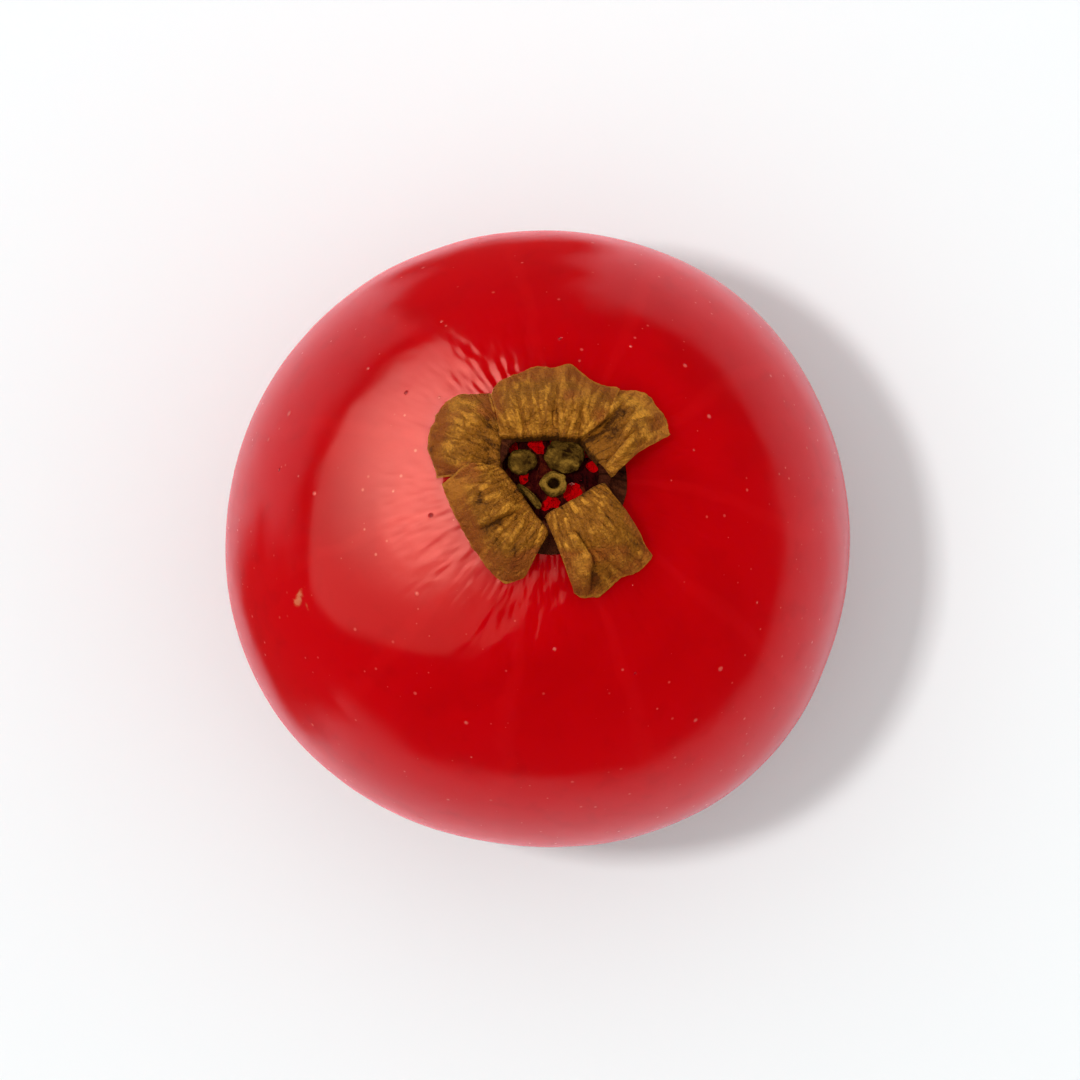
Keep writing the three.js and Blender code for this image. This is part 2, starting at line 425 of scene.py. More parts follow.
@dataclass(frozen=True)
class GleamSheet(Finish):
    """The sheet that the glossy skin mirrors: pale near the berry, shaded further off and to two sides."""

    name: str = "gleam_sheet"
    pale: Colour = (0.73, 0.7, 0.77)
    shaded: Colour = (0.02, 0.012, 0.012)
    fade: tuple[float, float] = (24.0, 60.0)  # where the pale part ends, in millimetres from the berry
    shades: tuple[Triple, ...] = ((100.0, 18.0, 6.5), (200.0, 20.0, 7.6))  # (heading, half width, start)

    def sockets(self, graph: Graph) -> Sockets:
        """Values and signals for the shader.

        Args:
            graph: where the nodes go.

        Returns:
            Them, by the names of its sockets.
        """
        place = graph.place()
        x, y, _ = graph.parts(place)
        away = graph.vector("LENGTH", place, output="Value")
        shade = graph.step(away, *self.fade)
        wander = (graph.noise(place, 0.16, 1.0) - 0.5) * 0.16
        for heading, width, start in self.shades:
            turn = math.radians(heading)
            along = (x * math.cos(turn) + y * math.sin(turn)) / away + wander
            outside, inside = (math.cos(math.radians(width + spread)) for spread in (8.0, -5.0))
            near = graph.step(away, start, start + 2.5)
            shade = graph.maths("MAXIMUM", shade, graph.step(along, outside, inside) * near)
        colour = graph.blend(self.pale, self.shaded, shade)
        return {"Base Color": colour, "Roughness": 0.6, "Specular IOR Level": 0.0}


# ---------------------------------------------------------------- shapes


@dataclass(frozen=True)
class Lattice:
    """Smooth noise between random numbers on a cube lattice, from -1 to 1."""

    seed: int
    cells: int = 24

    def at(self, points: Points) -> Scalars:
        """The noise.

        Args:
            points: places whose last axis is x, y, z, in cells.

        Returns:
            A number for each.
        """
        numbers = np.random.default_rng(self.seed).uniform(-1.0, 1.0, (self.cells,) * 3)
        base = np.floor(points).astype(int)
        share = points - base
        share = share * share * (3.0 - 2.0 * share)
        total = np.zeros(points.shape[:-1])
        for corner in np.ndindex(2, 2, 2):
            x, y, z = np.moveaxis((base + corner) % self.cells, -1, 0)
            total += np.where(corner, share, 1.0 - share).prod(axis=-1) * numbers[x, y, z]
        return total

    def layered(self, points: Points, layers: int = 3) -> Scalars:
        """Layers of the noise, each twice as fine and half as strong."""
        return sum(self.at(points * 2.0**k + 5.7 * k) / 2.0**k for k in range(layers))

    def creased(self, points: Points, depth: float = 2.0) -> Scalars:
        """Sharp ridges, 1 on their tops and 1 - depth in the lowest places."""
        return 1.0 - depth * np.abs(self.layered(points, 2))


def bell(distance: Scalars, width: float) -> Scalars:
    """1 where the distance is 0, and next to nothing beyond twice the width."""
    return np.exp(-((distance / width) ** 2))


def unit(vectors: Points) -> Points:
    """Vectors of length 1."""
    return vectors / np.linalg.norm(vectors, axis=-1, keepdims=True)


def polar(radius: Scalars, phi: Scalars, height: Scalars) -> Points:
    """Points by their distance from the Z axis, their angle round it and their height."""
    return np.stack(np.broadcast_arrays(radius * np.cos(phi), radius * np.sin(phi), height), axis=-1)


def ring_grid(sides: int, *columns: Scalars) -> list[Scalars]:
    """The angle round the axis, and each column of a profile, at every point of a stack of rings."""
    around = np.linspace(0.0, TURN, sides, endpoint=False)
    return np.broadcast_arrays(around, *(column[:, None] for column in columns))


def resampled(corners: Points, count: int) -> Points:
    """The columns of a profile, at places spread evenly over its corners."""
    place = np.linspace(0.0, len(corners) - 1, count)
    return np.array([np.interp(place, range(len(corners)), column) for column in corners.T])


def smooth_line(points: Points, share: Scalars, rounding: float = 1.0) -> Points:
    """Places on a smooth line through points.

    Args:
        points: single points, or grids of points as large as share, stacked along the first axis.
        share: how far along the line, from 0 to 1.
        rounding: 0 for straight pieces between the points to 1 for a smooth curve.

    Returns:
        The places.
    """
    padded = np.concatenate([2.0 * points[:1] - points[1:2], points, 2.0 * points[-1:] - points[-2:-1]])
    place = np.clip(share, 0.0, 1.0) * (len(points) - 1)
    index = np.minimum(place.astype(int), len(points) - 2)
    t = (place - index)[..., None]
    if points.ndim == 2:
        a, b, c, d = (padded[index + k] for k in range(4))
    else:
        a, b, c, d = (np.take_along_axis(padded, (index + k)[None, ..., None], axis=0)[0] for k in range(4))
    bend = (c - a) * t + (2 * a - 5 * b + 4 * c - d) * t**2 + (3 * b - a - 3 * c + d) * t**3
    return b + (c - b) * t * (1.0 - rounding) + 0.5 * bend * rounding


def grid_faces(rows: int, columns: int, rows_close: bool, columns_close: bool) -> np.ndarray:
    """Four-cornered faces of a grid of points.

    Args:
        rows: rows of points.
        columns: points in a row.
        rows_close: whether the last row meets the first.
        columns_close: whether a row's last point meets its first.

    Returns:
        Point numbers, four to a face.
    """
    row = np.arange(rows if rows_close else rows - 1)[:, None]
    column = np.arange(columns if columns_close else columns - 1)[None, :]
    here, above = row * columns, (row + 1) % rows * columns
    right = (column + 1) % columns
    corners = np.broadcast_arrays(here + column, here + right, above + right, above + column)
    return np.stack(corners, axis=-1).reshape(-1, 4)


# ---------------------------------------------------------------- pieces


def mesh_object(name: str, points: Points, faces: list[Any], traces: dict[Trace, np.ndarray]) -> Any:
    """Makes a smooth mesh object.

    Args:
        name: the object's name.
        points: its points in millimetres.
        faces: point numbers of each face.
        traces: a number or a vector for each point.

    Returns:
        The object.
    """
    mesh = bpy.data.meshes.new(name)
    mesh.from_pydata((points.reshape(-1, 3) * MM).tolist(), [], faces)
    mesh.polygons.foreach_set("use_smooth", [True] * len(mesh.polygons))
    for trace, values in traces.items():
        kind, key = ("FLOAT", "value") if values.size == len(mesh.vertices) else ("FLOAT_VECTOR", "vector")
        layer = mesh.attributes.new(trace.value, kind, "POINT")
        layer.data.foreach_set(key, np.ascontiguousarray(values, np.float32).ravel())
    mesh.validate()
    mesh.update()
    made = bpy.data.objects.new(name, mesh)
    bpy.context.scene.collection.objects.link(made)
    return made


@dataclass(frozen=True)
class Piece:
    """One piece of the currant: its name, the CAD node that it stands for, and its finish."""

    name: str
    node: str
    slot: Slot
    material: bpy.types.Material

    def make(self, points: Points, faces: np.ndarray | list[Any], traces: dict[Trace, np.ndarray]) -> None:
        """Makes the piece, and gives it its finish and its place in the frame.

        Args:
            points: its points in millimetres.
            faces: point numbers of each face.
            traces: a number or a vector for each point.
        """
        piece = mesh_object(self.name, points, list(faces), traces)
        piece.data.materials.append(self.material)
        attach(piece, BODY)
        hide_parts(self.node)
        low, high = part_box(self.node)
        mine = points.reshape(-1, 3) * MM
        off = np.abs([mine.min(0) - low, mine.max(0) - high]).max() / MM
        logger.info("%s: %d faces, at most %.2f mm off %s", self.name, len(faces), off, self.node)

    def ball(self, rows: Points, traces: dict[Trace, np.ndarray]) -> None:
        """Makes a closed ball of rings of points, of which the first and the last are single points.

        Args:
            rows: rows x columns x 3 points, counter-clockwise seen from the last row.
            traces: values for the same rows and columns.
        """

        def in_order(grid: np.ndarray) -> np.ndarray:
            """The first point, the rings between and the last point."""
            return np.concatenate([grid[:1, 0], grid[1:-1].reshape(-1, *grid.shape[2:]), grid[-1:, 0]])

        rings, columns = len(rows) - 2, rows.shape[1]
        faces = (grid_faces(rings, columns, False, True) + 1).tolist()
        last = rings * columns + 1
        for k in range(columns):
            after = (k + 1) % columns
            faces += [(0, 1 + after, 1 + k), (last - columns + k, last - columns + after, last)]
        self.make(in_order(rows), faces, {trace: in_order(values) for trace, values in traces.items()})

    def slab(self, top: Points, bottom: Points, traces: dict[Trace, np.ndarray]) -> None:
        """Makes a closed thin slab between two grids that share their outer points.

        Args:
            top: rows x columns x 3 points of the upper side.
            bottom: the same for the lower side; its outer points are taken from the top.
            traces: values for the top's points, also used below.
        """
        rows, columns = top.shape[:2]
        inner = np.zeros((rows, columns), bool)
        inner[1:-1, 1:-1] = True
        below = np.arange(inner.size).reshape(inner.shape)
        below[inner] = inner.size + np.arange(inner.sum())

        def both(upper: np.ndarray, lower: np.ndarray) -> np.ndarray:
            """The values of the upper side, and then those inside the lower one."""
            return np.concatenate([upper.reshape(inner.size, *upper.shape[2:]), lower[inner]])

        faces = grid_faces(rows, columns, False, False)
        faces = np.concatenate([faces, below.ravel()[faces[:, ::-1]]]).tolist()
        self.make(both(top, bottom), faces, {trace: both(values, values) for trace, values in traces.items()})


@dataclass(frozen=True)
class Pose:
    """Where the berry's middle is and which way its flower end points, read from the frame."""

    middle: Vector
    axis: Vector

    @classmethod
    def from_frame(cls) -> "Pose":
        """Reads both from the two rings of the frame that stand square on the axis.

        Returns:
            The pose.
        """
        flower, stalk = cls._centre("calyx_cup"), cls._centre("stalk_stub")
        axis = (flower - stalk).normalized()
        to_upright = -(flower.x * axis.x + flower.y * axis.y) / (axis.x**2 + axis.y**2)
        return cls(flower + axis * to_upright, axis)

    @staticmethod
    def _centre(node: str) -> Vector:
        """The middle of a node's points, in millimetres."""
        points = np.array([vertex.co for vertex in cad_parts[node].data.vertices])
        return Vector(points.mean(0)) / MM

    def place(self, points: Points, along: float = 0.0) -> Points:
        """Takes points from the berry's own axes, with Z to the flower end, into the frame.

        Args:
            points: the points, in millimetres.
            along: how far their zero lies from the berry's middle, along its axis.

        Returns:
            The points in the frame, in millimetres.
        """
        return points @ self._turn().T + np.array(self.middle + self.axis * along)

    def seen_from_above(self, points: Points) -> Points:
        """Leans points over with the axis, so that from above each one keeps the X and Y that it is given.

        Args:
            points: X and Y as seen from above, and the height along the axis, in millimetres.

        Returns:
            The points in the berry's own axes.
        """
        turn = self._turn()
        flat = points[..., :2] - points[..., 2:] * turn[:2, 2]
        return np.concatenate([flat @ np.linalg.inv(turn[:2, :2]).T, points[..., 2:]], axis=-1)

    def _turn(self) -> np.ndarray:
        """The rotation from the berry's own axes to the frame's."""
        return np.array(Vector((0.0, 0.0, 1.0)).rotation_difference(self.axis).to_matrix())


# ---------------------------------------------------------------- the berry


@dataclass(frozen=True)
class Band:
    """A relief of the skin that is strongest in a ring round one of the poles, in millimetres."""

    height: float
    width: float
    ring: float = 0.0  # how far from the pole, along the skin

    def at(self, distance: Scalars) -> Scalars:
        """Its height at a distance from the pole, along the skin."""
        return self.height * bell(distance - self.ring, self.width)


@dataclass(frozen=True)
class Swell:
    """Gentle waves round the berry's waist."""

    count: int
    size: float  # as a share of the radius
    peak: float  # where the first one peaks, in degrees


@dataclass(frozen=True)
class Berry:
    """The fruit: a slightly flattened, gently uneven ball that rests on its own flat spot."""

    radius: float = 4.97
    pole_flattening: float = 0.02
    flower_dip: Band = Band(-0.14, 1.15)
    neck: Band = Band(0.05, 0.24, 1.15)  # the skin drawn up round the flower end
    stalk_dip: Band = Band(-0.3, 0.6)
    swells: tuple[Swell, ...] = (Swell(2, 0.0057, -0.6), Swell(3, 0.0077, -48.9), Swell(4, 0.007, 41.1))
    puckers: Band = Band(0.012, 0.6, 1.7)  # round the flower end
    stalk_puckers: Band = Band(0.0096, 0.45, 0.7)
    pucker_grain: tuple[float, float] = (13.0, 1.6)  # how fine, round the axis and along the skin
    pucker_heading: float = 115.0  # where round the flower end they are deepest
    streaks: Band = Band(0.006, 0.95, 2.3)  # further out
    streak_grain: tuple[float, float] = (25.0, 2.6)
    ripple_height: float = 0.012
    ripple_reach: float = 2.6
    lump_height: float = 0.018
    bump_height: float = 0.006
    rings: int = 240
    crowding: float = 0.275  # how much closer together the rings are by the poles
    sides: int = 400
    edge_softness: float = 0.012  # of the flat spot

    def skin_radius(self, from_pole: Scalars) -> Scalars:
        """The skin's distance from the middle, before its swells and wrinkles.

        Args:
            from_pole: the angle from the flower end's pole.

        Returns:
            The distance.
        """
        distance = self.radius * from_pole
        body = self.radius * (1.0 - self.pole_flattening * np.cos(from_pole) ** 2)
        at_stalk = self.stalk_dip.at(self.radius * math.pi - distance)
        return body + self.flower_dip.at(distance) + at_stalk + self.neck.at(distance)

    def skin_height(self, from_axis: Scalars) -> Scalars:
        """Height of the skin beside the flower end's pole, above the pole."""
        angle = np.arcsin(from_axis / self.radius)
        return self.skin_radius(angle) * np.cos(angle) - self.skin_radius(0.0)

    def build(self, pose: Pose) -> None:
        """Makes the fruit.

        Args:
            pose: where it stands.
        """
        step = np.linspace(0.0, 1.0, self.rings + 2)
        from_pole = math.pi * step - self.crowding * np.sin(TURN * step)
        phi, theta = ring_grid(self.sides, from_pole[::-1])
        waves = sum(s.size * np.cos(s.count * (phi - math.radians(s.peak))) for s in self.swells)
        direction = polar(np.sin(theta), phi, np.cos(theta))
        length = self.skin_radius(theta) * (1.0 + waves * np.sin(theta) ** 2)
        points = pose.place(direction * (length + self._wrinkles(theta, phi, direction))[..., None])
        height = points[..., 2]
        points[..., 2] = 0.5 * (height + np.sqrt(height**2 + self.edge_softness**2))
        plan = polar(self.radius * theta, phi, 0.0)
        skin = BerrySkin(pose.middle, self.radius).material()
        Piece("berry_flesh", "berry", Slot.SKIN, skin).ball(points, {Trace.GRAIN: plan})

    def _wrinkles(self, theta: Scalars, phi: Scalars, direction: Points) -> Scalars:
        """The skin's own relief: lumps and bumps, puckers by both ends, streaks and ripples by the flower.

        Args:
            theta: the angle from the flower end's pole.
            phi: the angle round the axis.
            direction: the unit vector from the middle.

        Returns:
            The height to add.
        """
        distance = self.radius * theta
        toward = 0.25 + 0.75 * np.clip(np.cos(phi - math.radians(self.pucker_heading)), 0.0, 1.0)
        puckers = toward * self.puckers.at(distance) + self.stalk_puckers.at(math.pi * self.radius - distance)
        around, along = self.pucker_grain
        puckers *= Lattice(11).creased(polar(around, phi, along * distance))
        around, along = self.streak_grain
        streaks = Lattice(13).creased(polar(around, phi, along * distance)) * self.streaks.at(distance)
        near = np.exp(-((distance / self.ripple_reach) ** 4))
        ripples = Lattice(12).layered(direction * self.radius * 5.0, 2) * near * self.ripple_height
        lumps = Lattice(5).layered(direction * 2.4, 2) * np.sin(theta) * self.lump_height
        bumps = Lattice(6).layered(direction * self.radius * 1.1, 3) * self.bump_height
        return puckers + streaks + ripples + lumps + bumps


# ---------------------------------------------------------------- the flower end


@dataclass(frozen=True)
class Pleat:
    """A sharp fold in a sepal: the sheet on the left of a line stands higher than on its right. Beside the
    line it paints light on the high side and a shadow on the low side; with no height it is only a painted
    shadow, where another sepal lies over this one.
    """

    start: tuple[float, float]  # X and Y seen from above, in millimetres
    end: tuple[float, float]
    height: float
    shadow: float  # how dark the painted shadow on the low side is
    shadow_width: float = 0.08
    light: float = 0.4  # how pale the painted light on the high side is, as a share of the shadow
    light_width: float = 0.08
    reach: float = 0.3  # how far from the line the step has faded away
    sharpness: float = 0.025

    def lift(self, points: Points) -> Scalars:
        """How much the fold lifts the sheet.

        Args:
            points: places on the sheet, seen from above.

        Returns:
            The height for each.
        """
        beside, strength = self._from_line(points)
        step = 0.5 + 0.5 * np.tanh(beside / self.sharpness)
        return self.height * step * bell(np.maximum(beside, 0.0), self.reach) * strength

    def shade(self, points: Points) -> Scalars:
        """The painted light, above 0, or painted shadow, below 0, that the fold lays beside its line.

        Args:
            points: places on the sheet, seen from above.

        Returns:
            The shade for each.
        """
        beside, strength = self._from_line(points)
        high = self.light * np.exp(-np.abs(beside) / self.light_width)
        low = np.exp(-np.abs(beside) / self.shadow_width)
        return self.shadow * np.where(beside < 0.0, low, high) * np.tanh(beside / self.sharpness) * strength

    def _from_line(self, points: Points) -> tuple[Scalars, Scalars]:
        """Where places lie from the line.

        Args:
            points: the places, seen from above.

        Returns:
            The distance to the left of the line, and how strong the fold is there, from 0 to 1.
        """
        line = np.subtract(self.end, self.start)
        length = float(np.hypot(*line))
        x, y = points[..., 0] - self.start[0], points[..., 1] - self.start[1]
        along = (x * line[0] + y * line[1]) / length**2
        beside = (y * line[0] - x * line[1]) / length
        return beside, np.clip((along + 0.08) * 6.0, 0.0, 1.0) * np.clip((1.08 - along) * 6.0, 0.0, 1.0)


@dataclass(frozen=True)
class Sepal:
    """One withered sepal, as rows of points from its root to its tip, each row from right to left.

    A point is its X and Y seen from above, from the cup's middle, and its height above the skin at the
    pole, in hundredths of a millimetre.
    """

    name: str
    node: str
    heading: float  # which way it points, in degrees from +X
    seed: int
    rows: tuple[tuple[tuple[int, int, int], ...], ...]
    pleats: tuple[Pleat, ...]
    painted_shade_and_stains: tuple[tuple[float, float, float, float], ...]  # (x, y, radius, how light), in millimetres: painted light and shade on the sheet's planes, and stains

    def sheet(self, u: Scalars, v: Scalars) -> Points:
        """Points of the smooth sheet.

        Args:
            u: 0 at the right side to 1 at the left side, looking out.
            v: 0 at the root to 1 at the tip.

        Returns:
            The points, in millimetres.
        """
        rows = np.stack([smooth_line(np.array(row) / 100.0, u, 0.6) for row in self.rows])
        return smooth_line(rows, v)

    def grain(self, points: Points) -> Points:
        """Where points lie across and along the sepal's fibres.

        Args:
            points: places on the sheet, seen from above.

        Returns:
            Their places in its plan, in millimetres.
        """
        turn = math.radians(self.heading)
        out = points[..., 0] * math.cos(turn) + points[..., 1] * math.sin(turn)
        side = points[..., 1] * math.cos(turn) - points[..., 0] * math.sin(turn)
        around = np.arctan2(side, out + 0.6) * 1.7
        return np.stack([around, np.hypot(out, side), np.full_like(out, self.seed)], axis=-1)

    def creases(self, points: Points, grain: Points) -> Scalars:
        """The creases.

        Args:
            points: places on the sheet, seen from above.
            grain: their places in its plan.

        Returns:
            -1 in the furrows to 1 on the ridges, and more at the pleats, whose painted shadow and light are
            added in.
        """
        furrows = Lattice(self.seed).layered(grain * (4.2, 1.3, 1.0), 2)
        ridges = Lattice(self.seed + 7).layered(grain * (5.5, 1.5, 1.0), 2)
        fine = Lattice(self.seed + 9).layered(grain * (19.0, 5.5, 1.0), 2)
        lines = 0.5 * bell(ridges, 0.18) - 0.7 * bell(furrows, 0.13)
        return lines + 0.3 * fine + sum(pleat.shade(points) for pleat in self.pleats)

    def painted_shade_and_stains_at(self, points: Points) -> Scalars:
        """How much lighter, above 0, or darker places on the sheet are painted: painted light and shade, and
        sun and damp stains.
        """
        x, y = points[..., 0], points[..., 1]
        return sum(light * bell(np.hypot(x - a, y - b), radius) for a, b, radius, light in self.painted_shade_and_stains)


@dataclass(frozen=True)
class Knob:
    """A small wrinkled body on the floor of the cup."""

    name: str
    node: str
    seed: int
    spot: tuple[float, float]  # where it stands, from the cup's middle
    squash: float  # its width along Y as a share of that along X
    size: tuple[float, float]  # what the radii and heights of its outline are multiplied by
    outline: tuple[Triple, ...]  # half its profile as (radius, height, painted light and shade: dark at the foot and in hollows, pale on a rim)


# The third columns are painted light and shade: dark at the feet, pale on the style's rim and dark in its
# hollow.
POST = (
    (0.16, 0.0, -2.0), (0.15, 0.1, -1.5), (0.15, 0.22, -0.8), (0.2, 0.3, -0.2), (0.21, 0.35, 0.5),
    (0.19, 0.41, 1.3), (0.14, 0.44, 2.4), (0.1, 0.42, 2.0), (0.075, 0.34, -2.0), (0.05, 0.29, -3.0),
)
BEAD = (
    (0.42, 0.0, -2.0), (0.45, 0.15, -2.0), (0.6, 0.33, -2.0), (0.95, 0.5, -1.5),
    (1.0, 0.66, -0.9), (0.88, 0.84, -0.4), (0.5, 0.97, -0.1), (0.15, 1.0, -0.1),
)


@dataclass(frozen=True)
class FlowerEnd:
    """The dried flower on the berry: an open cup, five sepals, and what is left in the cup."""

    berry: Berry
    pose: Pose
    cup_base: float = 1.2
    cup_rim: float = 0.92
    cup_wall: float = 0.16
    cup_height: float = 0.5
    cup_wrinkle: float = 0.035
    rim_wave: float = 0.03
    cup_mesh: tuple[int, int] = (60, 180)  # points round the wall and round the axis
    cup_finish: Finish = DryLeaf(
        "dark_dry_cup",
        lit_ridge=(0.115, 0.028, 0.01),
        body=(0.054, 0.012, 0.0055),
        shaded_furrow=(0.014, 0.003, 0.002),
        tinge=(0.09, 0.016, 0.007),
        shine=0.0,
    )
    disc_radius: float = 0.9
    disc_rise: float = 0.06  # above the skin
    skirt: float = 0.2  # how deep the disc's unseen underside lies
    disc_mesh: tuple[int, int] = (90, 200)
    disc_finish: Finish = DryLeaf(
        "flower_disc",
        lit_ridge=(0.15, 0.018, 0.006),
        body=(0.045, 0.003, 0.003),
        shaded_furrow=(0.012, 0.002, 0.002),
        tinge=(0.62, 0.0, 0.002),
        shine=0.0,
        edge_highlight=0.0,
        tinged=1.0,
        tinge_from=(0.35, 0.65),
    )
    red_spots: tuple[Triple, ...] = (  # (x, y, radius), still fresh, in the cup's floor
        (-0.6, 0.5, 0.09), (-0.2, 0.5, 0.13), (0.54, 0.42, 0.09), (0.68, 0.18, 0.1),
        (0.37, -0.22, 0.14), (0.0, -0.39, 0.12), (-0.4, 0.0, 0.08),
    )
    knobs: tuple[Knob, ...] = (
        Knob("style_post", "style_stump", 51, (0.04, -0.14), 0.95, (1.0, 1.0), POST),
        Knob("anther_small", "anther_1", 52, (-0.44, 0.22), 0.88, (0.23, 0.38), BEAD),
        Knob("anther_large", "anther_2", 53, (0.21, 0.31), 0.88, (0.31, 0.42), BEAD),
    )
    thread: tuple[Triple, ...] = ((-0.52, -0.12, 0.1), (-0.36, -0.29, 0.27), (-0.16, -0.5, 0.18))  # its run
    thread_width: float = 0.06
    knob_mesh: tuple[int, int] = (46, 64)
    thread_mesh: tuple[int, int] = (40, 24)
    remains_finish: Finish = DryLeaf(
        "dry_flower_remains",
        lit_ridge=(0.28, 0.14, 0.02),
        body=(0.1, 0.047, 0.007),
        shaded_furrow=(0.018, 0.006, 0.0015),
        tinge=(0.1, 0.04, 0.01),
        shine=0.0,
    )
    sepal_thickness: float = 0.07
    sepal_reach: float = 0.985  # of their outlines below, once shrunk
    hem: float = 0.3  # share of a sepal's length that turns down into the cup
    hem_depth: float = 0.34
    hem_shade: float = 2.2
    crease_height: float = 0.045
    crumple_height: float = 0.018
    raggedness: float = 0.02
    clearance: float = 0.03  # under a sepal's tip
    sepal_mesh: tuple[int, int] = (120, 130)
    sepal_finish: Finish = DryLeaf(
        "withered_sepal",
        lit_ridge=(0.66, 0.265, 0.027),
        body=(0.265, 0.087, 0.0068),
        shaded_furrow=(0.07, 0.021, 0.002),
        tinge=(0.3, 0.06, 0.011),
    )
    sepals: tuple[Sepal, ...] = (
        Sepal(
            "sepal_left", "sepal_1", 157.0, 21,
            (
                ((-80, 74, 50), (-83, 46, 52), (-80, 18, 50)),
                ((-88, 108, 52), (-120, 102, 58), (-140, 78, 60), (-144, 42, 60), (-130, 8, 52)),
                ((-94, 136, 12), (-148, 133, -8), (-182, 102, -18), (-194, 50, -20), (-180, 2, 0)),
            ),
            # Only painted shadows: where the top sepal and the lower-left sepal lie over this one.
            (Pleat((-0.96, 1.4), (-0.8, 0.66), 0.0, 1.2), Pleat((-0.78, 0.26), (-1.74, 0.04), 0.0, 1.2)),
            ((-1.54, 1.12, 0.3, 0.4), (-1.0, 0.44, 0.2, -0.9)),
        ),
        Sepal(
            "sepal_lower_left", "sepal_2", 222.0, 22,
            (
                ((-81, 20, 60), (-61, -7, 60), (-43, -34, 58), (-23, -62, 56), (-3, -87, 52)),
                ((-130, 25, 66), (-110, -28, 70), (-88, -70, 64), (-60, -105, 56), (-22, -120, 44)),
                ((-170, -8, 22), (-152, -56, 0), (-123, -110, -10), (-90, -154, -16), (-70, -166, -18),
                 (-42, -158, -16)),
            ),
            (
                Pleat((-1.14, -0.76), (-0.52, -0.46), 0.08, 3.6, 0.05),
                Pleat((-1.12, -0.1), (-0.95, -0.5), 0.03, 0.5),
            ),
            (
                (-1.5, -0.12, 0.2, 2.0), (-0.6, -1.3, 0.28, -0.6), (-0.62, -0.27, 0.15, -0.7),
                (-1.0, -0.7, 0.4, -0.25),
            ),
        ),
        Sepal(
            "sepal_lower_right", "sepal_3", 297.4, 23,
            (
                ((-8, -60, 54), (17, -46, 56), (40, -33, 56), (63, -20, 56), (87, -6, 54)),
                ((16, -120, 50), (50, -112, 60), (78, -98, 62), (103, -82, 60), (127, -60, 50)),
                ((38, -180, -8), (50, -188, -12), (74, -185, -16), (105, -163, -14), (130, -150, -12),
                 (150, -136, -10), (160, -120, -6)),
            ),
            (
                Pleat((0.6, -1.74), (0.63, -1.24), 0.15, 2.2),
                Pleat((0.63, -1.26), (0.38, -0.84), 0.09, 3.2, 0.05),
            ),
            (
                (0.44, -1.36, 0.14, 1.4), (0.68, -1.54, 0.1, -1.8), (1.27, -1.09, 0.22, -0.4),
                (0.3, -0.6, 0.2, 0.5), (0.8, -0.8, 0.35, -0.25), (1.3, -1.35, 0.3, 0.3),
            ),
        ),
        Sepal(
            "sepal_upper_right", "sepal_4", 25.0, 24,
            (
                ((98, 4, 50), (78, 33, 52), (50, 68, 50)),
                ((138, 40, 54), (130, 68, 60), (112, 95, 56), (85, 115, 48)),
                ((192, 72, 10), (181, 100, -2), (166, 124, -4), (140, 138, -4), (110, 144, 0)),
            ),
            (
                # The first is only a painted shadow, where the top sepal lies over this one.
                Pleat((0.5, 0.66), (1.12, 1.22), 0.0, 1.8, 0.24),
                Pleat((1.28, 0.9), (1.03, 0.46), 0.06, 1.2),
                Pleat((1.26, 0.62), (0.88, 0.2), 0.06, 3.2, 0.05),
            ),
            ((0.98, 0.86, 0.27, -0.1), (1.45, 1.08, 0.3, 1.1), (1.84, 0.74, 0.13, 2.0), (1.5, 0.7, 0.2, 0.4)),
        ),
        Sepal(
            "sepal_top", "sepal_5", 88.0, 25,
            (
                ((52, 68, 60), (10, 72, 62), (-35, 72, 62), (-80, 68, 60)),
                ((86, 95, 70), (45, 120, 74), (0, 125, 72), (-50, 120, 72), (-86, 102, 62)),
                ((110, 142, 12), (90, 148, 4), (63, 158, -6), (33, 182, -12), (6, 177, -10),
                 (-20, 178, -10), (-58, 167, -8), (-82, 154, 0), (-94, 134, 20)),
            ),
            (
                Pleat((-0.05, 0.75), (0.1, 1.55), 0.04, 0.6),
                Pleat((0.36, 0.8), (0.55, 1.3), 0.04, 0.7),
                Pleat((-0.48, 0.8), (-0.55, 1.35), 0.03, 0.5),
            ),
            ((-0.45, 1.15, 0.45, 0.45), (0.32, 1.6, 0.25, 0.5), (0.6, 1.12, 0.35, 0.7)),
        ),
    )

    def build(self) -> None:
        """Makes every piece of the flower end."""
        self.build_cup()
        self.build_disc()
        leaf = self.sepal_finish.material()
        for sepal in self.sepals:
            self.build_sepal(sepal, leaf)
        dry = self.remains_finish.material()
        for knob in self.knobs:
            self.build_knob(knob, dry)
        self.build_thread(dry)

    def place(self, points: Points) -> Points:
        """Takes points measured from the skin under the cup into the frame."""
        return self.pose.place(points, float(self.berry.skin_radius(0.0)))

